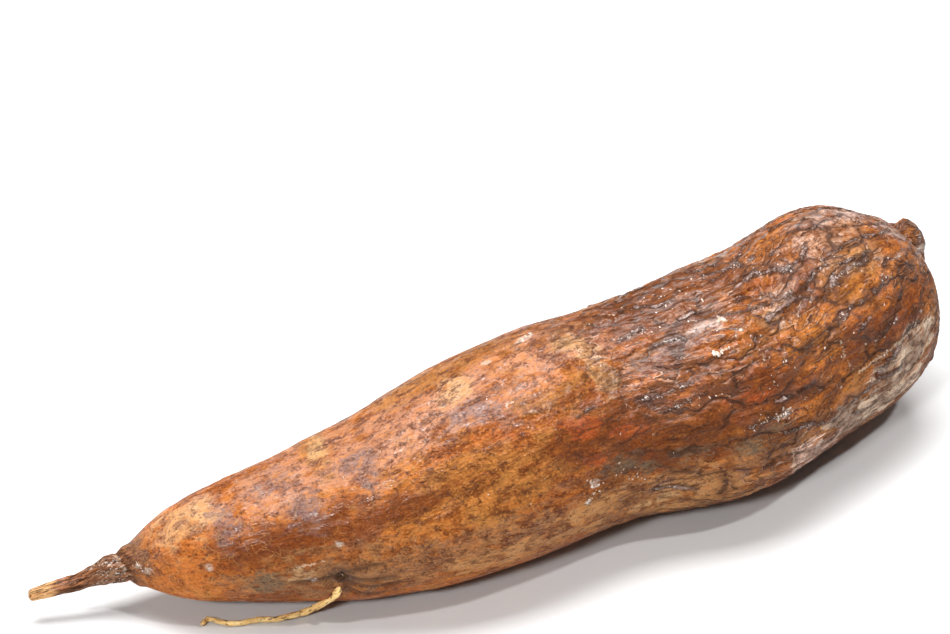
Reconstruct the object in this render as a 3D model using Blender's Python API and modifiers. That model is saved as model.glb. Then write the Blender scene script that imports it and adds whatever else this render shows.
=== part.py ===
"""Cassava root lying on its side.

One grown body, lofted through round girths: a thin woody tail, a sharp collar, the swollen
storage root, a domed crown and the short cut stub of the stem. One hair-thin side rootlet
trails from its underside. The belly is cut flat where the root rests on the ground.
"""

import math

import bmesh
import bpy
from mathutils import Matrix, Vector

MM = 0.001

# Each girth of the root, in mm: distance from the tail's broken end, sideways place of the
# centre, height of the centre above the ground, radius.
TAIL = (
    (0.0, 18.5, 9.7, 1.6),
    (1.5, 18.3, 9.9, 2.1),
    (12.0, 16.0, 11.6, 2.5),
    (21.0, 14.2, 14.0, 3.5),
    (26.0, 13.4, 15.6, 4.2),
)
BODY = (
    (29.0, 12.6, 16.0, 4.6),
    (32.0, 11.4, 16.8, 6.4),
    (37.0, 8.8, 18.4, 10.4),
    (44.0, 5.2, 20.8, 14.6),
    (56.0, 2.0, 22.4, 18.2),
    (76.0, -1.4, 23.8, 22.3),
    (98.0, -5.2, 27.0, 26.6),
    (120.0, -7.4, 31.8, 32.0),
    (142.0, -6.0, 33.8, 33.8),
    (164.0, -2.4, 34.2, 34.3),
    (184.0, 1.2, 33.6, 33.0),
    (202.0, -1.8, 35.2, 35.4),
    (220.0, -3.0, 36.6, 36.9),
    (240.0, 2.0, 36.0, 36.6),
    (258.0, 10.0, 36.4, 36.8),
    (274.0, 15.4, 36.8, 36.6),
)
CROWN = (
    (288.0, 17.0, 36.2, 32.6),
    (298.5, 17.6, 36.2, 25.8),
    (304.0, 18.0, 37.6, 18.6),
)

# The stem's stub: a place on its axis, the axis's direction, and along it (distance, radius).
STUB_BASE = (293.5, 22.5, 45.8)
STUB_AXIS = (0.90, 0.10, 0.40)
STUB_PROFILE = (
    (7.0, 11.0),
    (9.5, 9.0),
    (13.5, 8.4),
    (15.5, 6.8),
)
RING_POINTS = 8
SMOOTHING_LEVELS = 2

# The side rootlet's route, in the same frame: out of the flank, down it, and along the ground.
ROOTLET_RADIUS = 0.95
ROOTLET_ROUTE = (
    (84.5, -22.0, 17.5),
    (83.0, -24.4, 15.0),
    (81.5, -21.0, 10.0),
    (79.0, -17.0, 5.0),
    (75.5, -15.2, 2.6),
    (72.0, -14.4, 2.0),
    (66.5, -13.6, 2.0),
    (62.5, -11.9, 2.0),
    (58.0, -11.3, 2.0),
    (54.0, -10.0, 2.0),
    (51.0, -7.6, 2.0),
    (48.5, -5.2, 2.0),
    (46.0, -6.8, 2.1),
)

# The ground takes this much off the lowest skin of the belly, so that the root rests on flats.
FLAT_DEPTH = 0.9
CUTTER_MARGIN = 20.0

SKIN_COLOUR = (0.33, 0.12, 0.035, 1.0)
SKIN_ROUGHNESS = 0.42


def clear_scene():
    for item in list(bpy.data.objects):
        bpy.data.objects.remove(item, do_unlink=True)


def new_collection(name):
    collection = bpy.data.collections.new(name)
    bpy.context.scene.collection.children.link(collection)
    return collection


def skin_material():
    material = bpy.data.materials.new("root_skin")
    material.use_nodes = True
    shader = material.node_tree.nodes["Principled BSDF"]
    shader.inputs["Base Color"].default_value = SKIN_COLOUR
    shader.inputs["Roughness"].default_value = SKIN_ROUGHNESS
    shader.inputs["Metallic"].default_value = 0.0
    return material


def cage_radius(radius):
    """Radius of a ring's corners whose smoothed surface has the given radius."""
    return radius * 6.0 / (4.0 + 2.0 * math.cos(2.0 * math.pi / RING_POINTS))


def add_ring(mesh, centre, axis, radius):
    """A ring of corners around the centre, square to the axis, starting at its +Y side."""
    aside = (Vector((0.0, 1.0, 0.0)) - axis * axis.y).normalized()
    upward = axis.cross(aside)
    corner = cage_radius(radius)
    ring = []
    for index in range(RING_POINTS):
        angle = 2.0 * math.pi * index / RING_POINTS
        place = centre + corner * (math.cos(angle) * aside + math.sin(angle) * upward)
        ring.append(mesh.verts.new(place * MM))
    return ring


def root_rings(mesh):
    """Rings of the tail, body and crown square to X, then those of the stub square to its axis."""
    straight = Vector((1.0, 0.0, 0.0))
    rings = [
        add_ring(mesh, Vector((along, aside, height)), straight, radius)
        for along, aside, height, radius in TAIL + BODY + CROWN
    ]
    leaning = Vector(STUB_AXIS).normalized()
    for distance, radius in STUB_PROFILE:
        rings.append(add_ring(mesh, Vector(STUB_BASE) + leaning * distance, leaning, radius))
    return rings


def bridge(mesh, first, second):
    for index in range(RING_POINTS):
        after = (index + 1) % RING_POINTS
        mesh.faces.new((first[index], first[after], second[after], second[index]))


def root_body(collection):
    """Loft through every girth, closed at both ends and smoothed by Subdivision Surface."""
    mesh = bmesh.new()
    rings = root_rings(mesh)
    for first, second in zip(rings, rings[1:]):
        bridge(mesh, first, second)
    mesh.faces.new(list(reversed(rings[0])))
    mesh.faces.new(rings[-1])
    bmesh.ops.recalc_face_normals(mesh, faces=mesh.faces)
    data = bpy.data.meshes.new("cassava_root")
    mesh.to_mesh(data)
    mesh.free()
    data.shade_smooth()
    root = bpy.data.objects.new("cassava_root", data)
    collection.objects.link(root)
    smooth = root.modifiers.new("soft_form", "SUBSURF")
    smooth.levels = SMOOTHING_LEVELS
    smooth.render_levels = SMOOTHING_LEVELS
    return root


def rootlet(collection):
    """A thin round tube along the rootlet's route, as a closed mesh."""
    curve = bpy.data.curves.new("rootlet", "CURVE")
    curve.dimensions = "3D"
    curve.bevel_depth = ROOTLET_RADIUS * MM
    curve.bevel_resolution = 2
    curve.use_fill_caps = True
    spline = curve.splines.new("POLY")
    spline.points.add(len(ROOTLET_ROUTE) - 1)
    for point, place in zip(spline.points, ROOTLET_ROUTE):
        point.co = (place[0] * MM, place[1] * MM, place[2] * MM, 1.0)
    guide = bpy.data.objects.new("rootlet_guide", curve)
    collection.objects.link(guide)
    evaluated = guide.evaluated_get(bpy.context.evaluated_depsgraph_get())
    data = bpy.data.meshes.new_from_object(evaluated)
    mesh = bmesh.new()
    mesh.from_mesh(data)
    bmesh.ops.remove_doubles(mesh, verts=mesh.verts, dist=0.00001)
    mesh.to_mesh(data)
    mesh.free()
    tube = bpy.data.objects.new("rootlet_joined", data)
    tube.matrix_world = guide.matrix_world
    collection.objects.link(tube)
    bpy.data.objects.remove(guide, do_unlink=True)
    return tube


def ground_cutter(collection):
    """A box below the ground plane that takes off the belly's lowest skin."""
    length = STUB_BASE[0] + 2.0 * CUTTER_MARGIN
    depth = 2.0 * CUTTER_MARGIN
    bpy.ops.mesh.primitive_cube_add(size=1.0)
    cutter = bpy.context.object
    cutter.name = "ground"
    middle = Vector((STUB_BASE[0] / 2.0, 0.0, FLAT_DEPTH - depth / 2.0)) * MM
    size = Matrix.Diagonal(Vector((length, length, depth)) * MM).to_4x4()
    cutter.data.transform(Matrix.Translation(middle) @ size)
    for holder in list(cutter.users_collection):
        holder.objects.unlink(cutter)
    collection.objects.link(cutter)
    return cutter


def hide(guide):
    guide.hide_render = True
    guide.display_type = "WIRE"


def add_boolean(target, tool, name, operation):
    modifier = target.modifiers.new(name, "BOOLEAN")
    modifier.operation = operation
    modifier.solver = "EXACT"
    modifier.object = tool


def box_of(target):
    evaluated = target.evaluated_get(bpy.context.evaluated_depsgraph_get())
    corners = [evaluated.matrix_world @ Vector(corner) for corner in evaluated.bound_box]
    low = Vector([min(corner[axis] for corner in corners) for axis in range(3)])
    high = Vector([max(corner[axis] for corner in corners) for axis in range(3)])
    return low, high


def stand_on_origin(target, tools):
    """Move everything so that the middle of the finished body's underside is the origin."""
    bpy.context.view_layer.update()
    low, high = box_of(target)
    shift = Vector((-(low.x + high.x) / 2.0, -(low.y + high.y) / 2.0, -low.z))
    for item in [target] + tools:
        item.data.transform(Matrix.Translation(shift))


def build():
    clear_scene()
    parts = new_collection("cassava_root")
    tools = new_collection("cutters")
    root = root_body(parts)
    root.data.materials.append(skin_material())
    side_root = rootlet(tools)
    ground = ground_cutter(tools)
    hide(side_root)
    hide(ground)
    add_boolean(root, side_root, "side_rootlet", "UNION")
    add_boolean(root, ground, "resting_flat", "DIFFERENCE")
    stand_on_origin(root, [side_root, ground])


build()
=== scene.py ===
"""Looks of a waxed cassava root: its bark skin, side rootlet and wax, in a plain studio.

Places on the root: s is in mm along the root from the tail tip, and an angle in degrees
goes round it, 0 at the back (+Y), 90 on top, 180 at the front, 270 underneath.
Colours are linear red, green and blue.
"""

import itertools
import math
from types import SimpleNamespace

import bpy
import numpy as np
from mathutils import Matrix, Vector
from mathutils.bvhtree import BVHTree


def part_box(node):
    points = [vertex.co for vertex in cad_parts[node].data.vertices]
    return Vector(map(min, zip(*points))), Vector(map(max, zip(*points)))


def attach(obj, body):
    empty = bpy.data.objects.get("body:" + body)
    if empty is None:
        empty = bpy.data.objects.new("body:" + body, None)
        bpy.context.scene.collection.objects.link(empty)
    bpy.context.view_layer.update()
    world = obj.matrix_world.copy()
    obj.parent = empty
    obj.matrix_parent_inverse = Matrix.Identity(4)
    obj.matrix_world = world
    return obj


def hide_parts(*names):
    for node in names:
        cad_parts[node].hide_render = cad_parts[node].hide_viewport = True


MM = 0.001

# Camera and studio, in metres and degrees; the lens and sensor are in mm
LENS = 135.0
SENSOR_WIDTH = 36.0
CAMERA_AZIMUTH = -24.42
CAMERA_ELEVATION = 35.0
CAMERA_DISTANCE = 1.21
CAMERA_AIM = Vector((0.034, 0.1031, -0.0009))
WORLD_STRENGTH = 0.11

# Lights: azimuth, elevation, distance, width, height and radiance
SOFTBOXES = {
    "overhead_softbox": (176, 79, 1.5, 1.3, 0.7, 13.5),
    "key_softbox": (-48, 38, 1.6, 0.2, 0.2, 105.0),
    "glint_light": (38, 62, 1.6, 0.09, 0.09, 340.0),
}

# Floor: grey near the root, glowing more and more between two radii to match the backdrop
FLOOR_RADIUS = 9.0
FLOOR_DEPTH = 0.0002
FLOOR_COLOUR = (0.68, 0.68, 0.68)
GLOW_START, GLOW_END = 0.6, 1.8
GLOW_STRENGTH = 0.95

# Skin grid: its columns go round the root and its rings lie along it; lengths in mm
COLUMNS = 256
RINGS = 370
SECTIONS = 138
SECTION_RAYS = 32
FIRST_SECTION_S = 1.2
CROWN_CENTRE_S = 275.5
TAIL_LENGTH = 45.0
TAIL_STEP, BODY_STEP = 0.5, 1.0
DOME_DEGREES = 90
SPIKE_LIMIT = 0.3
TOP_DENSITY = 0.35
TAIL_DENSITY = 0.5

# How many rows each blur spreads over
LINE_BLUR = 3.0
NORMAL_BLUR = 4.0
SKIN_BLUR = 2.5

# Stub, in mm: where it starts, the way it points, the length over which the rings turn
# that way, and how far it is moved
STUB_S = 331
STUB_DIRECTION = Vector((0.9, 0.1, 0.4)).normalized()
TURN_LENGTH = 60.0
STUB_SHIFT = (-1.4, 0.0, -0.4)

# Raised strips of old bark: half width in mm, and the line along each as (s, angle)
BARK_STRIPS = [
    (1.2, [(248, 96), (256, 94), (262, 99), (269, 105), (277, 106), (283, 99)]),
    (0.8, [(240, 112), (250, 111), (261, 114), (271, 118), (280, 115), (291, 118), (301, 117)]),
    (1.2, [(250, 119), (261, 117), (268, 122), (274, 128), (280, 123), (288, 121), (297, 123)]),
    (0.7, [(284, 112), (292, 109), (301, 108), (311, 108), (319, 103)]),
    (0.9, [(276, 139), (284, 137), (291, 139), (298, 136), (301, 131), (304, 127)]),
    (0.6, [(276, 150), (281, 148), (286, 146)]),
    (0.6, [(284, 159), (290, 156), (296, 157)]),
    (0.9, [(282, 88), (290, 91), (298, 87), (304, 84)]),
    (0.8, [(222, 104), (230, 101), (238, 105), (248, 104), (257, 108)]),
    (0.7, [(199, 107), (206, 102), (214, 99)]),
    (0.7, [(205, 119), (212, 113), (218, 111), (224, 114)]),
    (0.7, [(200, 137), (208, 139), (216, 137), (223, 135)]),
    (0.7, [(197, 146), (204, 149), (211, 146), (220, 144)]),
    (0.7, [(178, 135), (185, 133), (190, 129)]),
    (0.8, [(241, 86), (250, 84), (262, 86)]),
    (0.7, [(240, 158), (247, 160), (256, 158)]),
    (0.9, [(228, 166), (236, 165), (243, 167)]),
    (0.8, [(240, 176), (249, 179), (258, 187), (266, 185), (276, 184)]),
]

# Dents and bulges: s, angle, length, width and height; a dent's height is below zero
DENTS = [(314, 45, 12, 19, -1.9), (321, 82, 9, 14, -1.0), (338, 275, 7, 14, -2.2),
         (329, 30, 3.5, 9, 2.4), (95, 190, 4, 5.5, -2.0), (102, 206, 7, 7, 0.9),
         (87, 204, 6, 5, 0.5)]

# Ridges and grooves right round the root: s, half width and height in mm, and the seed of
# the noise that makes a ridge knobbly
GIRDLES = [(27, 3, 0.45, 5), (31, 0.7, -0.6, None), (34, 1.5, 0.4, 6), (19, 5, -0.35, None),
           (329.5, 3, -1.6, None)]

# Creases round the rootlet's pit, each as a line of (s, angle)
CREASES = [[(97, 190), (103, 193), (111, 194)], [(97, 195), (104, 200), (112, 202)],
           [(93, 189), (87, 187), (81, 188)], [(96, 186), (101, 182), (108, 180)],
           [(96, 200), (101, 208), (107, 212)]]

# Patches of unlike skin, with painted sheen and painted shade among them: colour,
# how much of it, how soft their edges are, and spots of (s, angle, length, width)
PATCHES = {
    # Painted sheen: pinkish-grey where the overhead light's reflection falls along the top of the
    # body
    "rosy": ((0.45, 0.215, 0.13), 0.8, 0.5, [
        (54, 97, 40, 20), (120, 96, 110, 30), (186, 92, 44, 22), (88, 100, 40, 26)]),
    "orange": ((0.54, 0.15, 0.024), 0.75, 0.4, [
        (53, 142, 26, 26), (48, 80, 20, 12), (292, 106, 36, 14), (247, 94, 9, 8),
        (257, 114, 12, 6), (258, 146, 22, 14), (283, 148, 16, 9)]),
    "ochre": ((0.31, 0.125, 0.028), 0.75, 0.5, [
        (102, 80, 8, 24), (150, 70, 60, 14), (146, 150, 62, 22), (296, 122, 16, 8),
        (282, 112, 10, 8), (172, 120, 24, 8)]),
    # Dark brown skin; its spot at (222, 82), across the back of the top, is painted shadow
    "brown": ((0.15, 0.032, 0.004), 0.92, 0.5, [
        (88, 148, 60, 18), (118, 147, 36, 8), (186, 147, 46, 18), (210, 162, 60, 20),
        (240, 153, 44, 18), (298, 156, 30, 16), (284, 154, 30, 14), (86, 190, 44, 14),
        (222, 82, 60, 24)]),
    "reddish": ((0.38, 0.07, 0.014), 0.7, 0.4, [
        (180, 140, 14, 7), (195, 151, 18, 4), (232, 152, 20, 5), (180, 159, 10, 4)]),
    # Greyer brown low on the front, partly painted shade where less light reaches
    "dun": ((0.275, 0.138, 0.06), 0.7, 0.5, [
        (112, 188, 90, 20), (150, 186, 60, 16), (196, 200, 70, 26), (232, 184, 30, 14)]),
    "tan": ((0.54, 0.265, 0.095), 0.7, 0.5, [
        (172, 190, 30, 12), (208, 206, 46, 28), (150, 200, 60, 12), (293, 114, 24, 14),
        (252, 119, 16, 10)]),
    "sandy": ((0.64, 0.41, 0.2), 0.55, 0.5, [
        (194, 112, 10, 22), (196, 203, 12, 7), (56, 97, 24, 14), (84, 181, 8, 5),
        (103, 76, 6, 16), (148, 93, 12, 13), (188, 91, 12, 12)]),
    "grey_green": ((0.12, 0.095, 0.06), 0.75, 0.4, [
        (186, 169, 14, 8), (196, 175, 12, 5), (234, 175, 24, 7), (210, 171, 20, 3),
        (74, 189, 10, 9)]),
    "violet": ((0.19, 0.125, 0.12), 0.75, 0.6, [
        (69, 120, 10, 17), (93, 128, 12, 13), (113, 121, 9, 9), (87, 94, 14, 9),
        (232, 100, 14, 8), (222, 112, 18, 9), (270, 108, 26, 10), (212, 122, 20, 6),
        (150, 112, 16, 9), (112, 108, 14, 8)]),
    # Russet skin, and partly painted shadow over the top of the waist and crown
    "russet": ((0.2, 0.062, 0.016), 0.75, 0.5, [
        (228, 88, 40, 26), (274, 96, 30, 18), (224, 104, 20, 14), (308, 142, 16, 12)]),
    # Dark skin at the collar; round the rootlet's pit it is painted shade
    "dusky": ((0.12, 0.065, 0.045), 0.8, 0.4, [
        (37, 95, 12, 26), (36, 60, 12, 20), (96, 190, 9, 10), (103, 203, 12, 5),
        (38, 140, 6, 10)]),
    # Painted sheen on the top of the crown
    "blush": ((0.56, 0.33, 0.22), 0.7, 0.4, [
        (289, 101, 24, 14), (300, 95, 16, 12), (286, 112, 14, 7), (258, 113, 16, 7)]),
    "amber": ((0.35, 0.118, 0.015), 0.75, 0.4, [
        (263, 140, 26, 15), (286, 131, 15, 9), (281, 160, 10, 6)]),
    # Lilac wax film, and a painted reflection on the top of the crown
    "lilac": ((0.56, 0.44, 0.39), 0.75, 0.5, [
        (231, 112, 12, 6), (303, 80, 30, 16), (318, 104, 10, 14)]),
    "dusty": ((0.8, 0.63, 0.47), 0.9, 0.2, [
        (294, 186, 40, 17), (264, 188, 20, 7), (305, 184, 16, 9), (280, 204, 50, 20)]),
    "scraped": ((0.98, 0.66, 0.52), 1.0, 0.15, [
        (250, 202, 20, 16), (251, 213, 24, 14)]),
    "waxy": ((0.72, 0.62, 0.53), 0.45, 0.5, [
        (177, 172, 3, 3), (173, 182, 2, 2), (178, 77, 6, 3), (240, 166, 7, 2), (36, 146, 4, 2),
        (38, 162, 4, 3), (59, 162, 2.5, 2.5), (162, 84, 3, 2), (98, 160, 2, 2), (87, 186, 3, 2),
        (252, 200, 9, 6), (310, 129, 6, 2), (338, 132, 10, 9)]),
    # Painted shade: near-black in pits by the tail's groove, in the rootlet's pit and by the
    # scraped place
    "pit": ((0.012, 0.006, 0.004), 1.0, 0.2, [
        (29.5, 168, 2.6, 2.2), (95, 192, 4, 5), (243, 217, 3, 2)]),
}

# Thin pale lines on the skin: half width in mm, below zero where a line is broken up, and
# the line as (s, angle)
PALE_LINES = [
    (0.3, [(274, 170), (282, 168), (290, 168), (300, 172), (308, 180), (312, 190)]),
    (-0.05, [(271, 148), (270, 156), (272, 168)]),
    (0.2, [(30.5, 70), (31, 95), (30, 120), (31, 145), (30, 165), (31, 185)]),
    (0.25, [(241, 189), (240, 200), (242, 214)]),
    (0.4, [(329, 95), (328.5, 112), (329.5, 132), (331, 150)]),
    (0.0, [(83, 173), (88, 171), (92, 170)]),
]

# The side rootlet: its middle line, radius and length in mm, and its grid
ROOTLET_ROUTE = [(-70.4, -27.7, 16.6), (-71.9, -30.1, 14.1), (-73.4, -26.7, 9.1),
                 (-75.9, -22.7, 4.1), (-79.4, -20.9, 1.7), (-82.9, -20.1, 1.1),
                 (-88.4, -19.3, 1.1), (-92.4, -17.6, 1.1), (-96.9, -17.0, 1.1),
                 (-100.9, -15.7, 1.1), (-103.9, -13.3, 1.1), (-106.4, -10.9, 1.1),
                 (-108.9, -12.5, 1.2)]
ROOTLET_RADIUS = 0.95
ROOTLET_LENGTH = 62
ROOTLET_SIDES = 14
ROOTLET_RINGS = 170

# Crumbs of wax: s, angle, length and width of the group in mm, count, and size in mm
WAX_CRUMBS = [
    (177, 172, 3, 4, 14, 0.8), (173, 182, 2, 2, 6, 0.8), (178, 77, 6, 3, 6, 1.0),
    (241, 166, 6, 2, 16, 0.6), (233, 165, 8, 2, 10, 0.4), (236, 111, 3, 3, 3, 1.4),
    (225, 78, 24, 6, 14, 0.5), (230, 100, 26, 12, 20, 0.4), (232, 125, 8, 4, 8, 1.0),
    (205, 78, 8, 5, 6, 0.5), (214, 146, 12, 3, 8, 0.4), (248, 142, 10, 8, 10, 0.4),
    (255, 84, 16, 3, 8, 0.4), (190, 176, 8, 5, 16, 0.4), (270, 155, 40, 16, 20, 0.4),
    (300, 128, 16, 5, 8, 0.4), (150, 150, 180, 90, 60, 0.3), (260, 20, 90, 60, 50, 0.4),
    (150, 20, 120, 60, 30, 0.35), (260, 330, 90, 40, 30, 0.4), (36, 150, 5, 4, 12, 0.4),
]

# Colours of the skin, from the ground tone up
ORANGE = (0.46, 0.138, 0.022)
BROWN = (0.27, 0.066, 0.01)
OCHRE = (0.38, 0.17, 0.042)
RUST = (0.5, 0.125, 0.026)
VIOLET_CLOUD = (0.25, 0.12, 0.08)
LIGHT_PLATE = (0.52, 0.22, 0.06)
DARK_PLATE = (0.24, 0.062, 0.014)
DARK_BLOTCH = (0.13, 0.032, 0.007)
# Pinkish-grey painted sheen, mottled, over the top of the body
PAINTED_SHEEN_MOTTLE = (0.25, 0.14, 0.115)
DARK_MOTTLE = (0.09, 0.021, 0.005)
LIGHT_MOTTLE = (0.56, 0.2, 0.045)
DARK_FIBRE = (0.11, 0.034, 0.012)
DARK_SPECK = (0.055, 0.016, 0.006)
LIGHT_SPECK = (0.62, 0.25, 0.06)
PALE_NET = (0.6, 0.31, 0.105)
# Painted shade along the edges of plates and below the steps of flakes
PLATE_SHADE = (0.12, 0.042, 0.018)
FLAKE_SHADE = (0.12, 0.045, 0.022)
# Painted highlight on the lips of flakes
FLAKE_LIP_HIGHLIGHT = (0.66, 0.4, 0.26)
CRACK = (0.04, 0.015, 0.008)
# Painted shade in the creases round the rootlet's pit
CREASE_SHADE = (0.06, 0.03, 0.018)
PALE_LINE = (0.58, 0.44, 0.32)
WAX_FILM = (0.72, 0.61, 0.52)

# Colours of the bark strips and what lies round them
GREY_BARK = (0.3, 0.205, 0.18)
DARK_BARK = (0.08, 0.04, 0.03)
# Pale grains on the strips, partly painted highlights
BARK_GRAINS_AND_GLINTS = (0.46, 0.34, 0.29)
BARK_PORES = (0.045, 0.022, 0.016)
STRIP_FILM = (0.27, 0.15, 0.12)
# Painted shadow round the edges of the strips
STRIP_EDGE_SHADOW = (0.035, 0.012, 0.006)
# Wax beads along the strips' edges, partly painted glints
WAX_BEADS_AND_GLINTS = (0.8, 0.7, 0.62)

# Colours of the tail, each pair light and dark, and of the stub
TAIL_BARK = (0.26, 0.105, 0.045), (0.07, 0.027, 0.013)
TAIL_SCALES = (0.25, 0.135, 0.08), (0.09, 0.034, 0.018)
TAIL_WOOD = (0.64, 0.36, 0.155), (0.42, 0.2, 0.08)
SCALE_WAX = (0.56, 0.44, 0.34)
TAIL_CRACK = (0.03, 0.01, 0.005)
STUB_BARK = (0.24, 0.075, 0.022), (0.065, 0.02, 0.008)

# Colours of the rootlet and of the wax crumbs, each pair light and dark
ROOTLET_SKIN = (1.0, 0.72, 0.29), (0.8, 0.47, 0.16)
ROOTLET_SPOT = (0.12, 0.05, 0.022)
ROOTLET_PALE = (0.92, 0.72, 0.38)
CRUMB_WAX = (0.68, 0.6, 0.54), (0.42, 0.28, 0.19)

# Seeds of the random draws, and how many bark strips are strewn over the other sides
PATCH_SEED, PATCH_SEED_STEP = 100, 10
STREWN_STRIPS, STREWN_SEED = 38, 5
CRUMB_SEED = 8


# -------------------- camera, light and floor

def direction(azimuth, elevation):
    """Unit vector towards a viewer at this azimuth and elevation, in degrees."""
    a, e = math.radians(azimuth), math.radians(elevation)
    return Vector((math.sin(a) * math.cos(e), -math.cos(a) * math.cos(e), math.sin(e)))


def make_camera():
    data = bpy.data.cameras.new("camera")
    data.lens = LENS
    data.sensor_width = SENSOR_WIDTH
    camera = bpy.data.objects.new("camera", data)
    back = direction(CAMERA_AZIMUTH, CAMERA_ELEVATION)
    camera.location = CAMERA_AIM + back * CAMERA_DISTANCE
    camera.rotation_euler = back.to_track_quat("Z", "Y").to_euler()
    bpy.context.scene.collection.objects.link(camera)
    bpy.context.scene.camera = camera


def softbox(name, azimuth, elevation, distance, width, height, radiance):
    """A rectangular light facing the root; radiance 1 looks as bright as a white wall."""
    data = bpy.data.lights.new(name, "AREA")
    data.shape = "RECTANGLE"
    data.size = width
    data.size_y = height
    data.energy = radiance * math.pi * width * height
    light = bpy.data.objects.new(name, data)
    towards = direction(azimuth, elevation)
    light.location = towards * distance
    light.rotation_euler = towards.to_track_quat("Z", "Y").to_euler()
    bpy.context.scene.collection.objects.link(light)


def make_world():
    """Weak light from all round, which the camera sees as plain white."""
    world = bpy.data.worlds.new("studio")
    world.use_nodes = True
    tree = world.node_tree
    seen = tree.nodes.new("ShaderNodeLightPath").outputs["Is Camera Ray"]
    shown = tree.nodes.new("ShaderNodeMapRange")
    shown.inputs["To Min"].default_value = WORLD_STRENGTH
    shown.inputs["To Max"].default_value = 1.0
    background = tree.nodes["Background"]
    background.inputs["Color"].default_value = (1.0, 1.0, 1.0, 1.0)
    tree.links.new(seen, shown.inputs["Value"])
    tree.links.new(shown.outputs["Result"], background.inputs["Strength"])
    bpy.context.scene.world = world


def make_studio():
    make_world()
    for name, place_and_size in SOFTBOXES.items():
        softbox(name, *place_and_size)
    bpy.context.scene.view_settings.view_transform = "Standard"


# -------------------- skin grid

def recentred(tree, centre):
    """The middle of the section across X through centre."""
    angles = np.linspace(0, math.tau, SECTION_RAYS, endpoint=False)
    rays = [Vector((0, math.cos(a), math.sin(a))) for a in angles]
    radii = np.array([tree.ray_cast(centre, ray)[3] or 0.0 for ray in rays])
    weight = radii ** 2
    y = (weight * radii * np.cos(angles)).sum() / weight.sum()
    z = (weight * radii * np.sin(angles)).sum() / weight.sum()
    # A thin wedge's own middle lies two thirds of the way out
    return centre + Vector((0, y, z)) * 0.667


def centre_line(tree, low, high):
    """Section centres every 2 mm, from just inside the tail tip to the crown's centre."""
    first, last = low.x + FIRST_SECTION_S * MM, low.x + CROWN_CENTRE_S * MM
    xs = np.linspace(first, last, SECTIONS)
    middle = len(xs) // 2
    start = Vector((xs[middle], 0, (low.z + high.z) / 2))
    found = {}
    for order in (range(middle, len(xs)), range(middle, -1, -1)):
        centre = start
        for i in order:
            centre = Vector((xs[i], centre.y, centre.z))
            for _ in range(3):
                centre = recentred(tree, centre)
            found[i] = centre
    return np.array([found[i] for i in range(len(xs))])


def smoothed(values, spread, wrap=False):
    """Gaussian blur of rows, spread rows wide; wrap joins the last row to the first."""
    reach = int(3 * spread) + 1
    offsets = np.arange(-reach, reach + 1)
    weights = np.exp(-0.5 * (offsets / spread) ** 2)
    weights /= weights.sum()
    index = np.arange(len(values))
    total = 0.0
    for offset, weight in zip(offsets, weights):
        at = index + offset
        at = at % len(values) if wrap else np.clip(at, 0, len(values) - 1)
        total = total + values[at] * weight
    return total


def unit(vectors):
    return vectors / np.linalg.norm(vectors, axis=-1, keepdims=True)


def smoothstep(low, high, x):
    t = np.clip((x - low) / (high - low), 0.0, 1.0)
    return t * t * (3.0 - 2.0 * t)


def ring_frames(line):
    """Centres, normals and lifts of every ray fan: the tail's dome, the sections, the crown's."""
    travel = np.r_[0.0, np.cumsum(np.linalg.norm(np.diff(line, axis=0), axis=1))] / MM
    stations = np.r_[np.arange(0.0, TAIL_LENGTH, TAIL_STEP),
                     np.arange(TAIL_LENGTH, travel[-1], BODY_STEP), travel[-1]]
    line = smoothed(line, LINE_BLUR)
    centres = np.stack([np.interp(stations, travel, line[:, k]) for k in range(3)], axis=1)
    normals = unit(smoothed(np.gradient(centres, stations, axis=0), NORMAL_BLUR))
    turn = smoothstep(travel[-1] - TURN_LENGTH, travel[-1], stations)[:, None]
    normals = unit(normals * (1 - turn) + np.array(STUB_DIRECTION) * turn)
    dome = np.radians(np.arange(1, DOME_DEGREES + 1))
    lifts = np.r_[-dome[::-1], np.zeros(len(stations)), dome]
    rows = np.r_[[0] * len(dome), np.arange(len(stations)), [-1] * len(dome)]
    return centres[rows], normals[rows], lifts


def without_spikes(radii):
    """Radii with the thin rootlet, which a few rays run into, taken out."""
    shifts = [np.roll(radii, (i, j), (0, 1)) for i in (-3, 0, 3) for j in (-3, -1, 0, 1, 3)]
    return np.minimum(radii, np.median(shifts, axis=0) + SPIKE_LIMIT * MM)


def crowded(shares, places, density):
    """Places that leave behind these shares of a density summed up along them."""
    total = np.cumsum(density)
    total = (total - total[0]) / (total[-1] - total[0])
    return np.interp(shares, total, places)


def column_angles():
    """Angles of the grid's columns, closer together on top than underneath."""
    even = np.linspace(0, math.tau, 2001)
    return crowded(np.arange(COLUMNS) / COLUMNS, even, 1.0 + TOP_DENSITY * np.sin(even))


def cast_skin(tree, centres, normals, lifts, angles):
    """Skin points (fans, columns, 3), rounded where the CAD's facets meet."""
    back = np.array([0.0, 1.0, 0.0])
    across = unit(back - normals * (normals @ back)[:, None])
    up = np.cross(normals, across)
    flat = (across[:, None] * np.cos(angles)[None, :, None]
            + up[:, None] * np.sin(angles)[None, :, None])
    rays = (flat * np.cos(lifts)[:, None, None]
            + normals[:, None] * np.sin(lifts)[:, None, None])
    radii = np.array([[tree.ray_cast(c, r)[3] or 0.0 for r in row]
                      for c, row in zip(centres, rays)])
    points = centres[:, None] + rays * without_spikes(radii)[:, :, None]
    points = smoothed(points, SKIN_BLUR)
    return smoothed(points.swapaxes(0, 1), SKIN_BLUR, wrap=True).swapaxes(0, 1)


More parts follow.
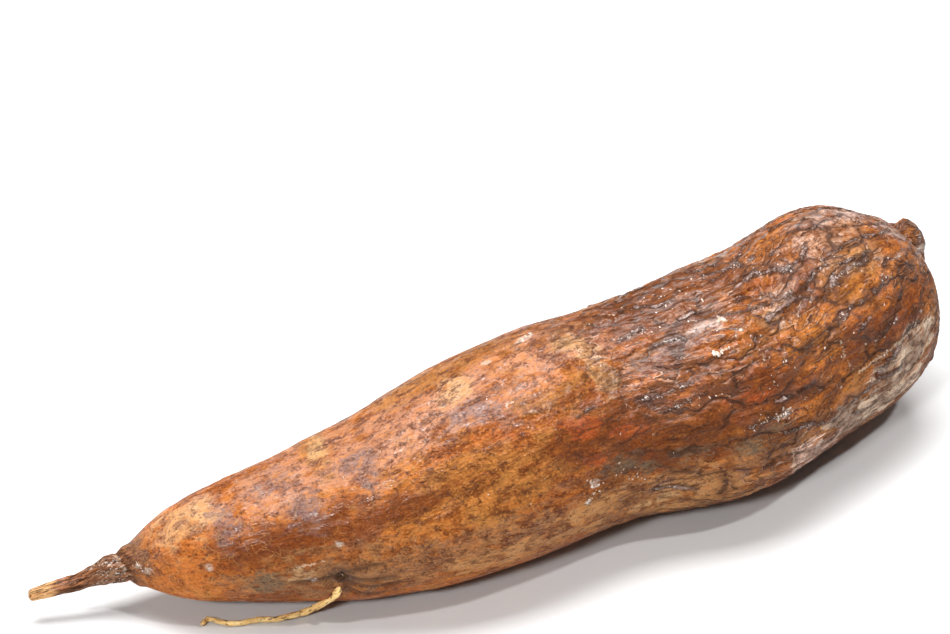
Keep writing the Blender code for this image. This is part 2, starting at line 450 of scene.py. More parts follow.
def resampled(points):
    """Rings of the grid, evenly spaced along every column, a little closer on the tail."""
    steps = np.linalg.norm(np.diff(points, axis=0), axis=2)
    travel = np.concatenate([np.zeros((1, points.shape[1])), np.cumsum(steps, axis=0)])
    even = np.linspace(0, 1, 2001)
    density = 1.0 + TAIL_DENSITY * (1 - smoothstep(0.08, 0.18, even))
    shares = crowded((np.arange(RINGS) + 1) / (RINGS + 1), even, density)
    rings = np.empty((RINGS, points.shape[1], 3))
    for j in range(points.shape[1]):
        at = shares * travel[-1, j]
        for k in range(3):
            rings[:, j, k] = np.interp(at, travel[:, j], points[:, j, k])
    return rings, shares * travel[-1].mean() / MM


def grid_mesh(name, rings, start, end):
    """A closed mesh of rings between two end points, with a UV map u round and v along."""
    count, columns = rings.shape[:2]
    points = np.concatenate([rings.reshape(-1, 3), [start, end]])
    j = np.arange(columns)
    k = (j + 1) % columns
    near = np.arange(count - 1)[:, None] * columns
    far = near + columns
    quads = np.stack([near + j, near + k, far + k, far + j], axis=-1).reshape(-1, 4)
    first = np.stack([np.full(columns, count * columns), k, j], axis=1)
    last = (count - 1) * columns
    final = np.stack([np.full(columns, count * columns + 1), last + j, last + k], axis=1)
    mesh = bpy.data.meshes.new(name)
    mesh.from_pydata(points.tolist(), [], quads.tolist() + first.tolist() + final.tolist())
    lay_out(mesh, count, columns)
    mesh.polygons.foreach_set("use_smooth", [True] * len(mesh.polygons))
    return mesh


def lay_out(mesh, count, columns):
    """Writes the UV map: u round the grid, v along it, a triangle strip at each end."""
    layer = mesh.uv_layers.new(name="OFBake")
    corners = np.empty(len(mesh.loops), int)
    mesh.loops.foreach_get("vertex_index", corners)
    own = np.arange(columns)[:, None]
    quads = np.tile((own + [0, 1, 1, 0]).ravel(), count - 1)
    u = np.r_[quads, (own + [0.5, 1, 0]).ravel(), (own + [0.5, 0, 1]).ravel()] / columns
    v = (corners // columns + 1) / (count + 1)
    v[corners == count * columns] = 0.0
    v[corners == count * columns + 1] = 1.0
    layer.uv.foreach_set("vector", np.stack([u, v], axis=1).ravel())


def skin_grid(root):
    """The bare skin: its rings, its end points, s for each ring, an angle for each column."""
    faces = [tuple(p.vertices) for p in root.data.polygons]
    tree = BVHTree.FromPolygons([v.co for v in root.data.vertices], faces)
    line = centre_line(tree, *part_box("cassava_root"))
    centres, normals, lifts = ring_frames(line)
    angles = column_angles()
    points = cast_skin(tree, centres, normals, lifts, angles)
    rings, along = resampled(points)
    return rings, points[0].mean(axis=0), points[-1].mean(axis=0), along, angles


# -------------------- fields over the skin

def hashed(cells, seed):
    """A pseudo-random number from 0 to 1 for each row of whole numbers."""
    h = (cells[:, 0] * 374761393 + cells[:, 1] * 668265263 + cells[:, 2] * 2147483647
         + seed * 974634777) & 0xFFFFFFFF
    h = ((h ^ (h >> 13)) * 1274126177) & 0xFFFFFFFF
    h = ((h ^ (h >> 16)) * 2246822519) & 0xFFFFFFFF
    return (h ^ (h >> 15)) / 0xFFFFFFFF


def waves(points, seed):
    """Gradient noise at each point, about -1 to 1, with features one unit apart."""
    cell = np.floor(points).astype(np.int64)
    inside = points - cell
    fade = inside ** 3 * (inside * (inside * 6 - 15) + 10)
    total = np.zeros(len(points))
    for corner in itertools.product((0, 1), repeat=3):
        turn = hashed(cell + corner, seed) * math.tau
        height = hashed(cell + corner, seed + 7) * 2 - 1
        flat = np.sqrt(1 - height ** 2)
        slope = np.stack([flat * np.cos(turn), flat * np.sin(turn), height], axis=1)
        weight = np.where(corner, fade, 1 - fade).prod(axis=1)
        total += weight * ((inside - corner) * slope).sum(axis=1)
    return total * 1.6


def layered(points, seed, octaves):
    """Waves at several sizes, each half as wide and half as high as the one before."""
    return sum(waves(points * 2 ** k, seed + 31 * k) / 2 ** k for k in range(octaves))


class Places:
    """s, angle and flow of every skin vertex; flow is the skin straightened out, in mm."""

    def __init__(self, rings, along, angles):
        middle = rings.mean(axis=1, keepdims=True)
        girth = np.linalg.norm(rings - middle, axis=2).mean(axis=1) / MM
        # Over the crown the radius is drawn towards the largest one
        crown = smoothstep(CROWN_CENTRE_S - 15, CROWN_CENTRE_S + 25, along)
        girth = girth ** (1 - 0.5 * crown) * girth.max() ** (0.5 * crown)
        # The last two vertices are the end points
        self.s = np.r_[np.repeat(along, COLUMNS), 0.0, along[-1]]
        self.angle = np.r_[np.tile(np.degrees(angles), len(along)), 90.0, 90.0]
        self.radius = np.r_[np.repeat(girth, COLUMNS), girth[0], girth[-1]]
        a = np.radians(self.angle)
        self.flow = np.stack(
            [self.s, self.radius * np.cos(a), self.radius * np.sin(a)], axis=1)

    def radius_at(self, s):
        return np.interp(s, self.s[:-2:COLUMNS], self.radius[:-2:COLUMNS])

    def noise(self, length, width, seed, octaves=2):
        """Layered waves with features of this length and width in mm."""
        return layered(self.flow / (length, width, width), seed, octaves)

    def offset(self, s, angle):
        """Distances in mm from a place, along and round the root."""
        turn = (self.angle - angle + 180) % 360 - 180
        return self.s - s, np.radians(turn) * self.radius


def blobs(places, spots, seed):
    """Soft mask of spots (s, angle, length, width), their edges broken by noise."""
    warp = places.noise(10, 5, seed, 3) * 0.45
    mask = np.zeros(len(places.s))
    for s, angle, length, width in spots:
        along, across = places.offset(s, angle)
        reach = np.hypot(along / length * 2, across / width * 2)
        mask = np.maximum(mask, 1 - smoothstep(0.3, 1.5, reach + warp))
    return mask


def line_distance(places, path):
    """Distance in mm from a line through (s, angle) points, measured on the skin."""
    nearest = np.full(len(places.s), np.inf)
    for (s0, a0), (s1, a1) in zip(path, path[1:]):
        along, across = places.offset(s0, a0)
        radius = places.radius_at((s0 + s1) / 2)
        step = np.array([s1 - s0, math.radians(a1 - a0) * radius])
        share = np.clip((along * step[0] + across * step[1]) / (step @ step), 0, 1)
        gap = np.hypot(along - share * step[0], across - share * step[1])
        nearest = np.minimum(nearest, gap)
    return nearest


def strewn_strips():
    """Wandering strips for the sides that have none of their own."""
    generator = np.random.default_rng(STREWN_SEED)
    strips = []
    for _ in range(STREWN_STRIPS):
        s = generator.uniform(196, 300)
        angle = generator.uniform(175, 445) % 360
        path = []
        for _ in range(generator.integers(3, 7)):
            path.append((s, angle))
            s += generator.uniform(4, 7)
            angle += generator.uniform(-6, 6)
        strips.append((generator.uniform(0.5, 1.3), path))
    return strips


def strip_field(places):
    """Distance in mm to the edge of the nearest bark strip, below zero on the strip."""
    field = np.full(len(places.s), 9.0)
    for half_width, path in BARK_STRIPS + strewn_strips():
        field = np.minimum(field, line_distance(places, path) - half_width)
    return field + 0.9 * places.noise(8, 4, 41, 3) + 0.62


# -------------------- shader building

class Graph:
    """Adds nodes to a material; each method returns the output that carries its result."""

    def __init__(self, name):
        self.material = bpy.data.materials.new(name)
        self.material.use_nodes = True
        self.tree = self.material.node_tree
        self.shader = self.tree.nodes["Principled BSDF"]

    def node(self, kind, inputs=(), output=0, **settings):
        node = self.tree.nodes.new(kind)
        for name, value in settings.items():
            setattr(node, name, value)
        for key, value in dict(inputs).items():
            self.feed(node.inputs[key], value)
        return node.outputs[output]

    def feed(self, socket, value):
        if isinstance(value, bpy.types.NodeSocket):
            self.tree.links.new(value, socket)
        elif hasattr(socket.default_value, "__len__") and len(value) == 3:
            socket.default_value = (*value, 1.0)[:len(socket.default_value)]
        else:
            socket.default_value = value

    def set(self, **values):
        """Sets or links the shader's own inputs, named with _ for a space."""
        for name, value in values.items():
            self.feed(self.shader.inputs[name.replace("_", " ")], value)

    def attribute(self, name, output="Fac"):
        return self.node("ShaderNodeAttribute", output=output, attribute_name=name)

    def math(self, operation, a, b=0.0, c=0.0):
        return self.node("ShaderNodeMath", {0: a, 1: b, 2: c}, operation=operation)

    def chain(self, operation, terms):
        """The terms joined by one operation, from first to last."""
        result = terms[0]
        for term in terms[1:]:
            result = self.math(operation, result, term)
        return result

    def total(self, *terms):
        return self.chain("ADD", terms)

    def times(self, *terms):
        return self.chain("MULTIPLY", terms)

    def most(self, *terms):
        return self.chain("MAXIMUM", terms)

    def line(self, value, slope, start):
        """The value times slope, plus start."""
        return self.math("MULTIPLY_ADD", value, slope, start)

    def centred(self, value, width):
        """Noise from 0 to 1 made this wide, with its middle at zero."""
        return self.line(value, width, -width / 2)

    def step(self, value, low, high, start=0.0, end=1.0):
        """A smooth change from start to end as value goes from low to high."""
        if low > high:
            low, high, start, end = high, low, end, start
        return self.node("ShaderNodeMapRange", {
            "Value": value, "From Min": low, "From Max": high, "To Min": start,
            "To Max": end}, interpolation_type="SMOOTHSTEP")

    def shrunk(self, vector, along, across):
        """The vector counted in units this long and this wide."""
        shares = (1 / along, 1 / across, 1 / across)
        return self.node("ShaderNodeVectorMath", {0: vector, 1: shares}, operation="MULTIPLY")

    def noise(self, vector, size, detail=2.0, roughness=0.55, warp=0.0):
        """Noise from 0 to 1; size is (along, round) in the vector's own units."""
        return self.node("ShaderNodeTexNoise", {
            "Vector": self.shrunk(vector, *size), "Scale": 1.0,
            "Detail": detail, "Roughness": roughness, "Distortion": warp})

    def cells(self, vector, size, feature, output):
        """Irregular cells; size is (along, round) in the vector's own units."""
        return self.node("ShaderNodeTexVoronoi", {
            "Vector": self.shrunk(vector, *size), "Scale": 1.0}, output=output, feature=feature)

    def warped(self, vector, size, amount):
        """The vector pushed about by noise of this size, by up to about half the amount."""
        push = self.node("ShaderNodeTexNoise", {
            "Vector": self.shrunk(vector, size, size), "Scale": 1.0, "Detail": 2.0}, output=1)
        centred = self.node("ShaderNodeVectorMath", {0: push, 1: (0.5, 0.5, 0.5)},
                            operation="SUBTRACT")
        return self.node("ShaderNodeVectorMath",
                         {0: centred, 1: (amount, amount, amount), 2: vector},
                         operation="MULTIPLY_ADD")

    def mix(self, share, a, b):
        return self.node("ShaderNodeMix", {0: share, 6: a, 7: b}, output=2,
                         data_type="RGBA")

    def tint(self, tone, colour, *shares):
        """The tone with a colour over it, as strong as the product of the shares."""
        return self.mix(self.times(*shares), tone, colour)

    def bump(self, height):
        """A normal for a height in mm."""
        return self.node("ShaderNodeBump", {"Height": height, "Distance": MM, "Strength": 1.0})


# -------------------- skin

def skin_masks(places):
    """Where each kind of skin lies, by name."""
    s = places.s
    masks = {name: blobs(places, patch[3], PATCH_SEED + PATCH_SEED_STEP * k)
             for k, (name, patch) in enumerate(PATCHES.items())}
    masks["old"] = smoothstep(150, 225, s + 12 * places.noise(30, 15, 11))
    masks["strip"] = strip_field(places)
    masks["layers"] = 2.4 * places.noise(30, 8, 21, 3) + s / 60
    masks["young"] = 1 - smoothstep(60, 150, s + 10 * places.noise(20, 12, 13))
    masks["bare_wood"] = 1 - smoothstep(7, 11, s + 3 * places.noise(9, 2, 14))
    masks["tail"] = 1 - smoothstep(31, 39, s + 3 * places.noise(6, 4, 12))
    masks["scaly"] = (smoothstep(18, 23, s + 4 * places.noise(5, 3, 15))
                      * (1 - smoothstep(29.5, 31, s)))
    masks["stub"] = smoothstep(STUB_S - 2, STUB_S + 1, s)
    masks["shine"] = smoothstep(0.3, 0.9, np.sin(np.radians(places.angle)))
    masks["broad"] = places.noise(36, 16, 17, 3)
    pale = [line_distance(places, path) - half_width for half_width, path in PALE_LINES]
    masks["pale"] = np.min(pale, axis=0) + 0.3 * places.noise(4, 3, 16)
    creases = [line_distance(places, path) for path in CREASES]
    masks["crease"] = np.exp(-(np.min(creases, axis=0) / 0.8) ** 2)
    return masks


def body_relief(places, masks):
    """Lumps, layers of bark, bark strips and wrinkles of the body, in mm."""
    lumps = 0.9 * places.noise(42, 20, 1)
    layer = masks["layers"] % 1.0
    layers = (0.15 + 0.55 * masks["old"]) * layer * smoothstep(1.0, 0.82, layer)
    strips = 0.5 * smoothstep(0.7, -0.7, masks["strip"])
    wrinkles = 0.22 * places.noise(9, 2.6, 3)
    body = smoothstep(36, 60, places.s) * (1 - 0.7 * smoothstep(305, 330, places.s))
    return body * (lumps + layers + strips + wrinkles)


def end_relief(places):
    """The tail's furrows, the girdles and the stub's swelling, in mm."""
    height = 0.45 * (1 - smoothstep(30, 40, places.s)) * places.noise(6, 1.8, 4)
    for s, half_width, rise, seed in GIRDLES:
        girdle = rise * np.exp(-((places.s - s) / half_width) ** 2)
        height += girdle * (1 + places.noise(4, 3, seed)) if seed else girdle
    stub = 2.8 * smoothstep(STUB_S, STUB_S + 3.5, places.s)
    taper = 1 - 0.35 * smoothstep(STUB_S + 6, STUB_S + 12, places.s)
    return height + stub * taper * (1 + 0.12 * places.noise(5, 4, 7))


def dent_relief(places, masks):
    """Dents, bulges and creases, in mm."""
    height = -0.6 * masks["crease"]
    for s, angle, length, width, rise in DENTS:
        along, across = places.offset(s, angle)
        height += rise * np.exp(-(along / length) ** 2 - (across / width) ** 2)
    return height


def skin_values(g):
    """The noises and masks that several parts of the skin's material share."""
    flow = g.attribute("flow", "Vector")
    return SimpleNamespace(
        flow=flow, place=g.warped(flow, 9.0, 9.0),
        fine=g.noise(flow, (0.9, 0.7), 2.0, 0.6),
        grain=g.noise(flow, (2.6, 1.5), 3.0, 0.6),
        fibre=g.noise(flow, (10, 1.0), 3.0, 0.6, 0.4),
        mottle=g.noise(flow, (4, 2.6), 3.0, 0.62, 0.4),
        blotch=g.noise(flow, (8, 5), 3.0, 0.6, 0.5),
        cloud=g.noise(flow, (17, 10), 3.0, 0.58, 0.5),
        marks=g.step(g.attribute("brown"), 0.1, 0.7, 1.0, 0.3),
        young=g.attribute("young"), old=g.attribute("old"))


def base_tone(g, n):
    """Orange, ochre and brown skin under violet-grey clouds."""
    tone = g.mix(g.step(g.attribute("broad"), -0.45, 0.45), ORANGE, BROWN)
    tone = g.tint(tone, OCHRE, g.step(n.cloud, 0.46, 0.36), 0.6)
    tone = g.tint(tone, RUST, g.step(n.blotch, 0.52, 0.64), 0.6)
    return g.tint(tone, VIOLET_CLOUD, g.step(n.cloud, 0.55, 0.65), 0.4)


def patched(g, n, tone):
    """Adds the patches of unlike skin, painted sheen and painted shade, with ragged edges."""
    rough = g.total(g.centred(n.blotch, 2.6), g.centred(n.grain, 1.8))
    for name, (colour, amount, softness, _) in PATCHES.items():
        mask = g.attribute(name)
        ragged = g.times(rough, g.step(mask, 0.0, 0.35))
        spread = g.step(g.total(mask, ragged), 0.5 - softness, 0.5 + softness)
        tone = g.tint(tone, colour, spread, amount)
    return tone


def mottled(g, n, tone):
    """Adds blotches, mottling, fibres and specks, and mottles the painted sheen on top."""
    dark = g.step(n.young, 0.0, 1.0, 0.72, 0.36)
    tone = g.tint(tone, DARK_BLOTCH, g.step(n.blotch, 0.51, 0.35), dark)
    # Mottled painted sheen over the top of the body
    tone = g.tint(tone, PAINTED_SHEEN_MOTTLE, g.attribute("rosy"), g.step(n.mottle, 0.5, 0.62), 0.45)
    tone = g.tint(tone, DARK_MOTTLE, g.step(n.mottle, 0.5, 0.66), dark)
    tone = g.tint(tone, LIGHT_MOTTLE, g.step(n.mottle, 0.46, 0.34), n.marks, 0.45)
    tone = g.tint(tone, DARK_FIBRE, g.step(n.fibre, 0.54, 0.66),
                  g.step(n.young, 0.0, 1.0, 0.35, 0.2))
    tone = g.tint(tone, DARK_SPECK, g.step(n.fine, 0.52, 0.65),
                  g.step(n.mottle, 0.4, 0.56, 0.35, 1.0), 0.7)
    return g.tint(tone, LIGHT_SPECK, g.step(n.fine, 0.44, 0.34), n.marks, 0.4)


def netted(g, n, tone):
    """Adds a fine pale net to young skin."""
    edge = g.cells(n.place, (3.2, 2.4), "DISTANCE_TO_EDGE", "Distance")
    return g.tint(tone, PALE_NET, g.step(edge, 0.09, 0.0), g.step(n.fine, 0.4, 0.56),
                  g.step(n.blotch, 0.46, 0.6), n.young, 0.45)


def plating(g, n):
    """Smooth domed plates of old skin: each one's own number, its rise, and its edges."""
    edge = g.cells(n.place, (32, 10), "DISTANCE_TO_EDGE", "Distance")
    return SimpleNamespace(
        own=g.cells(n.place, (32, 10), "F1", "Color"),
        rise=g.times(g.step(edge, 0.0, 0.25), n.old),
        crack=g.times(g.step(edge, 0.05, 0.012), g.step(n.blotch, 0.44, 0.52), n.old),
        shade=g.times(g.step(edge, 0.2, 0.03), n.old))


def plate_tones(g, n, tone, plates):
    """Makes some of the plates lighter and some darker."""
    tone = g.tint(tone, LIGHT_PLATE, g.step(plates.own, 0.5, 0.75), n.old, 0.6)
    return g.tint(tone, DARK_PLATE, g.step(plates.own, 0.45, 0.25), n.old, 0.5)


def flaking(g, n):
    """Layers that rise gently and drop at their edge: the rise, and the edge's parts."""
    share = g.math("FRACT", g.total(g.attribute("layers"), g.centred(n.grain, 0.44)))
    amount = g.times(g.line(n.old, 0.8, 0.2), g.step(n.cloud, 0.44, 0.56, 0.15, 1.0))
    return SimpleNamespace(
        rise=g.times(share, amount),
        seam=g.times(g.step(share, 0.14, 0.02), amount),
        shade=g.times(g.step(share, 0.4, 0.05), amount),
        lip=g.times(g.step(share, 0.86, 0.96), amount, g.step(n.mottle, 0.42, 0.54), n.marks))


def edged(g, tone, plates, flakes):
    """Adds painted shade at plate and flake edges, painted highlights on flake lips, the cracks,
    and painted shade in the creases.
    """
    # Painted shade along plate edges and below flake steps
    tone = g.tint(tone, PLATE_SHADE, plates.shade, 0.55)
    tone = g.tint(tone, FLAKE_SHADE, flakes.shade, 0.55)
    # Painted highlight on the flakes' lips
    tone = g.tint(tone, FLAKE_LIP_HIGHLIGHT, flakes.lip, 0.5)
    # Cracks are fainter where the skin is dusty or scraped
    depth = g.step(g.most(g.attribute("dusty"), g.attribute("scraped")), 0.2, 0.7, 0.8, 0.3)
    tone = g.tint(tone, CRACK, g.most(plates.crack, flakes.seam), depth)
    # Painted shade in the creases
    return g.tint(tone, CREASE_SHADE, g.attribute("crease"), 0.7)


def strip_tone(g, n):
    """The colour of the strips of old bark, whose pale grains are partly painted highlights."""
    bark = g.mix(g.step(n.mottle, 0.42, 0.58), GREY_BARK, DARK_BARK)
    # Pale grains, partly painted highlights
    bark = g.tint(bark, BARK_GRAINS_AND_GLINTS, g.step(n.fine, 0.54, 0.64), 0.6)
    return g.tint(bark, BARK_PORES, g.step(n.fine, 0.44, 0.34), 0.7)


def bark_strips(g, n, tone):
    """Adds the raised strips of old bark, with painted shadow round their edges and wax beads
    that are partly painted glints; returns the new tone and the strips' share.
    """
    gap = g.total(g.attribute("strip"), g.centred(n.grain, 4.2), g.centred(n.fine, 2.0))
    strip = g.step(gap, 0.05, -0.45)
    tone = g.tint(tone, STRIP_FILM, g.step(gap, 4.5, 0.5), g.step(n.blotch, 0.42, 0.58), 0.22)
    # Painted shadow round the strips' edges
    tone = g.tint(tone, STRIP_EDGE_SHADOW, g.step(gap, 1.0, 0.2), g.step(gap, -0.5, 0.0), 0.65)
    tone = g.tint(tone, strip_tone(g, n), strip, 0.8)
    # Wax beads along the strips' edges, partly painted glints
    tone = g.tint(tone, WAX_BEADS_AND_GLINTS, g.step(gap, 0.9, 0.3), g.step(gap, -0.9, -0.4),
                  g.step(n.fine, 0.59, 0.63), g.step(n.blotch, 0.46, 0.56), 0.7)
    return tone, strip


def tail_tone(g, n, tone):
    """Adds the tail's bark, grey and scaly at the collar, and the bare wood at its tip."""
    bark = g.mix(g.step(n.fibre, 0.42, 0.58), *TAIL_BARK)
    scales = g.mix(g.step(n.grain, 0.42, 0.58), *TAIL_SCALES)
    scales = g.tint(scales, SCALE_WAX, g.step(n.fine, 0.64, 0.72))
    bark = g.tint(bark, scales, g.attribute("scaly"), g.step(n.mottle, 0.4, 0.5))
    tone = g.tint(tone, bark, g.attribute("tail"), 0.9)
    wood = g.mix(g.step(n.fibre, 0.45, 0.62), *TAIL_WOOD)
    return g.tint(tone, wood, g.attribute("bare_wood"))


def tail_cracks(g, n):
    """Share of the tail that lies in the long cracks of its bark."""
    fold = g.noise(n.flow, (8, 1.6), 3.0, 0.5, 0.7)
    gap = g.math("ABSOLUTE", g.math("SUBTRACT", fold, 0.5))
    return g.times(g.step(gap, 0.03, 0.008), g.attribute("tail"))


def stub_tone(g, n, tone):
    """Adds the dark bark of the cut stub."""
    bark = g.mix(g.step(n.mottle, 0.42, 0.6), *STUB_BARK)
    return g.tint(tone, bark, g.attribute("stub"), 0.85)


def wax_film(g, n, crack):
    """Share of the skin under whitish wax: specks on old skin, patches, cracks in the tail."""
    specks = g.times(g.step(g.noise(n.flow, (1.3, 0.9), 3.0, 0.7), 0.67, 0.72),
                     g.step(g.noise(n.flow, (16, 9)), 0.52, 0.64), n.old)
    patches = g.times(g.step(g.attribute("waxy"), 0.3, 0.8), g.step(n.grain, 0.46, 0.54),
                      g.step(n.fine, 0.47, 0.58))
    seams = g.times(g.attribute("scaly"), crack, g.step(n.fine, 0.5, 0.56))
    return g.most(specks, patches, seams)


def skin_heights(g, n, plates, flakes, strip, crack, wax):
    """Heights in mm of the skin, and of the smoother wax coat over it."""
    rough = g.step(n.young, 0.0, 1.0, 1.0, 0.5)
    coarse = g.total(g.times(n.fibre, rough, 0.3), g.times(n.mottle, rough, 0.45),
                     g.times(flakes.rise, 0.9), g.times(plates.rise, 0.7),
                     g.times(strip, 0.6), g.times(wax, 0.15), g.times(n.grain, rough, 0.25))
    skin = g.total(coarse, g.times(n.fine, rough, 0.3), g.times(n.grain, rough, 0.35),
                   g.times(plates.crack, -0.3), g.times(crack, -0.25))
    return skin, g.times(coarse, 0.9)


def coat_weight(g, n, flakes, strip, wax):
    """How much the wax coat shines: most on ridges and thick wax, and most on top."""
    ridges = g.most(flakes.lip, strip, g.times(g.step(n.grain, 0.56, 0.66),
                                               g.step(n.young, 0.0, 1.0, 1.0, 0.5)))
    shine = g.attribute("shine")
    film = g.times(shine, g.line(n.old, 0.4, 0.1))
    gloss = g.times(g.line(shine, 0.62, 0.28), g.most(ridges, wax))
    return g.total(g.most(film, gloss), 0.05)


def skin_material():
    g = Graph("skin")
    n = skin_values(g)
    plates, flakes = plating(g, n), flaking(g, n)
    tone = stub_tone(g, n, plate_tones(g, n, base_tone(g, n), plates))
    tone = netted(g, n, mottled(g, n, patched(g, n, tone)))
    tone, strip = bark_strips(g, n, edged(g, tone, plates, flakes))
    tone = tail_tone(g, n, tone)
    crack = tail_cracks(g, n)
    wax = wax_film(g, n, crack)
    lines = g.step(g.line(n.fine, 3.0, g.attribute("pale")), 2.0, 1.2)
    tone = g.tint(tone, PALE_LINE, lines, 0.65)
    tone = g.tint(tone, TAIL_CRACK, crack, 0.7)
    tone = g.tint(tone, WAX_FILM, wax, 0.75)
    skin_height, wax_height = skin_heights(g, n, plates, flakes, strip, crack, wax)
    g.set(Base_Color=tone, Roughness=g.step(n.mottle, 0.35, 0.65, 0.32, 0.5),
          Normal=g.bump(skin_height), Specular_IOR_Level=0.06,
          Coat_Weight=coat_weight(g, n, flakes, strip, wax),
          Coat_Roughness=0.1, Coat_Normal=g.bump(wax_height))
    return g.material


def points_and_normals(mesh):
    """The mesh's points in metres and their normals, one row for each."""
    points, normals = np.empty((2, len(mesh.vertices) * 3))
    mesh.vertices.foreach_get("co", points)
    mesh.vertex_normals.foreach_get("vector", normals)
    return points.reshape(-1, 3), normals.reshape(-1, 3)


def displace(mesh, places, masks):
    """Moves the vertices along their normals by the relief, and never below the floor."""
    points, normals = points_and_normals(mesh)
    height = body_relief(places, masks) + end_relief(places) + dent_relief(places, masks)
    points = points + normals * height[:, None] * MM
    points += smoothstep(STUB_S - 4, STUB_S + 2, places.s)[:, None] * np.array(STUB_SHIFT) * MM
    points[:, 2] = np.maximum(points[:, 2], 0.0)
    mesh.vertices.foreach_set("co", points.ravel())
    mesh.update()


def add_flow(mesh, flow):
    """Stores flow, which the noises of a material lie along, on the mesh."""
    layer = mesh.attributes.new("flow", "FLOAT_VECTOR", "POINT")
    layer.data.foreach_set("vector", flow.ravel())


def make_skin(root):
    rings, start, end, along, angles = skin_grid(root)
    mesh = grid_mesh("skin", rings, start, end)
    places = Places(rings, along, angles)
    masks = skin_masks(places)
    displace(mesh, places, masks)
    for name, values in masks.items():
        mesh.attributes.new(name, "FLOAT", "POINT").data.foreach_set("value", values)
    add_flow(mesh, places.flow)
    mesh.materials.append(skin_material())
    skin = bpy.data.objects.new("skin", mesh)
    bpy.context.scene.collection.objects.link(skin)
    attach(skin, "root")
    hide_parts("cassava_root")
    return skin, places


# -------------------- rootlet and wax

def curved(points, count):
    """Points evenly shared along a smooth curve through the given ones."""
    points = np.array(points, float)
    before, after = 2 * points[:1] - points[1:2], 2 * points[-1:] - points[-2:-1]
    padded = np.concatenate([before, points, after])
    at = np.linspace(0, len(points) - 1, count)
    i = np.minimum(at.astype(int), len(points) - 2)
    t = (at - i)[:, None]
    p0, p1, p2, p3 = (padded[i + k] for k in range(4))
    return 0.5 * (2 * p1 + (p2 - p0) * t + (2 * p0 - 5 * p1 + 4 * p2 - p3) * t ** 2
                  + (3 * p1 - p0 - 3 * p2 + p3) * t ** 3)


def rootlet_line(along):
    """The rootlet's middle line in mm, wandering a little once it lies on the floor."""
    wander = [waves(np.stack([along * 26 + 9 * k] * 3, axis=1), 60 + k) for k in range(3)]
    loose = smoothstep(0.25, 0.4, along)[:, None]
    return curved(ROOTLET_ROUTE, len(along)) + 0.18 * np.stack(wander, axis=1) * loose


def make_rootlet():
    along = np.linspace(0, 1, ROOTLET_RINGS)
    line = rootlet_line(along)
    travel = unit(np.gradient(line, axis=0))
    across = unit(np.cross(travel, [0, 0, 1.0]))
    up = np.cross(across, travel)
    turn = np.linspace(0, math.tau, ROOTLET_SIDES, endpoint=False)
    cos, sin = np.cos(turn), np.sin(turn)
    rays = cos[None, :, None] * across[:, None] + sin[None, :, None] * up[:, None]
    flow = np.stack([np.repeat(along * ROOTLET_LENGTH, ROOTLET_SIDES),
                     np.tile(cos, ROOTLET_RINGS), np.tile(sin, ROOTLET_RINGS)], axis=1)
    # Thickest where it leaves the root, thinning towards its tip, with knobs all along
    radius = ROOTLET_RADIUS * (1.25 - 0.55 * along + 0.35 * np.exp(-along * 20))
    knobs = 1 + 0.22 * layered(flow / (2.4, 1.2, 1.2), 71, 2).reshape(rays.shape[:2])
    rings = line[:, None] + rays * (radius[:, None] * knobs)[:, :, None]
    rings[:, :, 2] = np.maximum(rings[:, :, 2], 0.0)
    mesh = grid_mesh("rootlet", rings * MM, line[0] * MM, (line[-1] + travel[-1] * 0.5) * MM)
    add_flow(mesh, np.concatenate([flow, flow[:1], flow[-1:]]))
    mesh.materials.append(rootlet_material())
    add_piece("rootlet", mesh)


def rootlet_material():
    g = Graph("rootlet")
    flow = g.attribute("flow", "Vector")
    fibre = g.noise(flow, (6, 0.5), 3.0, 0.6)
    spot = g.noise(flow, (2.6, 1.1), 3.0, 0.65)
    tone = g.mix(g.step(fibre, 0.38, 0.62), *ROOTLET_SKIN)
    tone = g.tint(tone, ROOTLET_SPOT, g.step(spot, 0.54, 0.62), 0.85)
    tone = g.tint(tone, ROOTLET_PALE, g.step(spot, 0.42, 0.34), 0.6)
    height = g.total(g.times(fibre, 0.3), g.times(spot, 0.4))
    g.set(Base_Color=tone, Roughness=g.step(spot, 0.4, 0.6, 0.45, 0.65),
          Normal=g.bump(height), Specular_IOR_Level=0.3, Coat_Weight=0.2)
    return g.material


def crumb(generator, point, normal, size):
    """A low irregular lump of wax on the skin: its points and faces."""
    sides = 8
    across = unit(np.cross(normal, [0.0, 1.0, 0.2]))
    along = np.cross(across, normal)
    stretch = generator.uniform(0.9, 1.8)
    spin = generator.normal(0, 0.5)
    turn = np.linspace(0, math.tau, sides, endpoint=False)
    points = []
    for reach, height in ((1.0, -0.12), (0.85, 0.1), (0.5, 0.2)):
        r = size * reach * generator.uniform(0.45, 1.2, sides)
        x, y = r * np.cos(turn) * stretch, r * np.sin(turn)
        x, y = x * math.cos(spin) - y * math.sin(spin), x * math.sin(spin) + y * math.cos(spin)
        lift = size * height * generator.uniform(0.7, 1.3, sides)
        points.append(point + x[:, None] * along + y[:, None] * across + lift[:, None] * normal)
    points = np.concatenate(points + [[point + normal * size * 0.24]])
    pairs = [(j, (j + 1) % sides) for j in range(sides)]
    faces = [(k + i, k + j, k + sides + j, k + sides + i)
             for k in (0, sides) for i, j in pairs]
    faces += [(2 * sides + i, 2 * sides + j, 3 * sides) for i, j in pairs]
    return points, faces


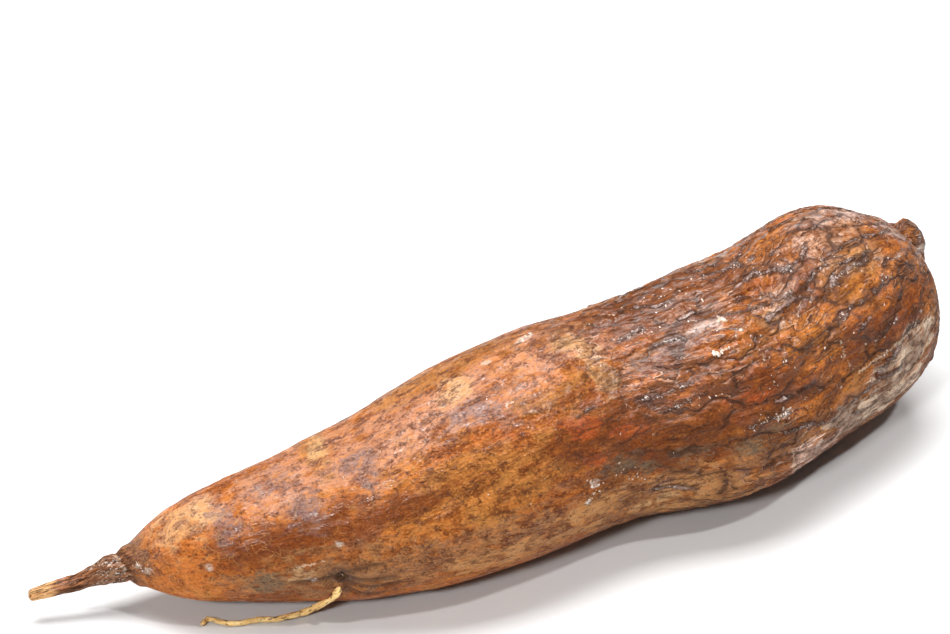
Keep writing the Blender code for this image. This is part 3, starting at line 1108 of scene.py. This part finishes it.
def make_wax(skin, places):
    generator = np.random.default_rng(CRUMB_SEED)
    points, normals = points_and_normals(skin.data)
    points = points / MM
    spots, faces, total = [], [], 0
    for s, angle, length, width, number, size in WAX_CRUMBS:
        for _ in range(number):
            here = s + generator.normal(0, length / 2.5)
            radius = places.radius_at(here)
            turn = angle + math.degrees(generator.normal(0, width / 2.5) / radius)
            along, across = places.offset(here, turn)
            i = np.argmin(along ** 2 + across ** 2)
            own, rims = crumb(generator, points[i], normals[i],
                              size * generator.uniform(0.35, 1.0))
            faces += [tuple(k + total for k in face) for face in rims]
            spots.append(own)
            total += len(own)
    spots = np.concatenate(spots)
    spots[:, 2] = np.maximum(spots[:, 2], 0.0)
    mesh = bpy.data.meshes.new("wax_crumbs")
    mesh.from_pydata((spots * MM).tolist(), [], faces)
    mesh.polygons.foreach_set("use_smooth", [True] * len(mesh.polygons))
    mesh.materials.append(wax_material())
    add_piece("wax_crumbs", mesh)


def wax_material():
    g = Graph("wax")
    place = g.node("ShaderNodeTexCoord", output="Object")
    cloud = g.noise(place, (0.0012, 0.0012), 3.0, 0.6)
    tone = g.mix(g.step(cloud, 0.38, 0.58), *CRUMB_WAX)
    g.set(Base_Color=tone, Roughness=g.step(cloud, 0.3, 0.7, 0.12, 0.35),
          Normal=g.bump(g.times(cloud, 0.2)))
    return g.material


def add_piece(name, mesh):
    piece = bpy.data.objects.new(name, mesh)
    bpy.context.scene.collection.objects.link(piece)
    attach(piece, "root")


def make_floor():
    bpy.ops.mesh.primitive_circle_add(vertices=96, radius=FLOOR_RADIUS, fill_type="NGON")
    floor = bpy.context.object
    floor.name = "floor"
    floor.location.z = -FLOOR_DEPTH
    g = Graph("floor")
    away = g.node("ShaderNodeVectorMath", {0: g.node("ShaderNodeTexCoord", output="Object")},
                  output="Value", operation="LENGTH")
    g.set(Base_Color=FLOOR_COLOUR, Roughness=0.8, Emission_Color=(1.0, 1.0, 1.0),
          Emission_Strength=g.step(away, GLOW_START, GLOW_END, 0.0, GLOW_STRENGTH))
    floor.data.materials.append(g.material)


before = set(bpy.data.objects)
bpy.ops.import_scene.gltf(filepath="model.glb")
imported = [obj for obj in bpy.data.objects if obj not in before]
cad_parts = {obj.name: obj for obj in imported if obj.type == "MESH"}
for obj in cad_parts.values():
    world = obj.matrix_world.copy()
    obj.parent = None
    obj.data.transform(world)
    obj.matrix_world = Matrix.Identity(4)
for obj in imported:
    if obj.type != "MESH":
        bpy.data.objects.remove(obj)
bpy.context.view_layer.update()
make_camera()
make_studio()
make_floor()
skin, places = make_skin(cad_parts["cassava_root"])
make_rootlet()
make_wax(skin, places)
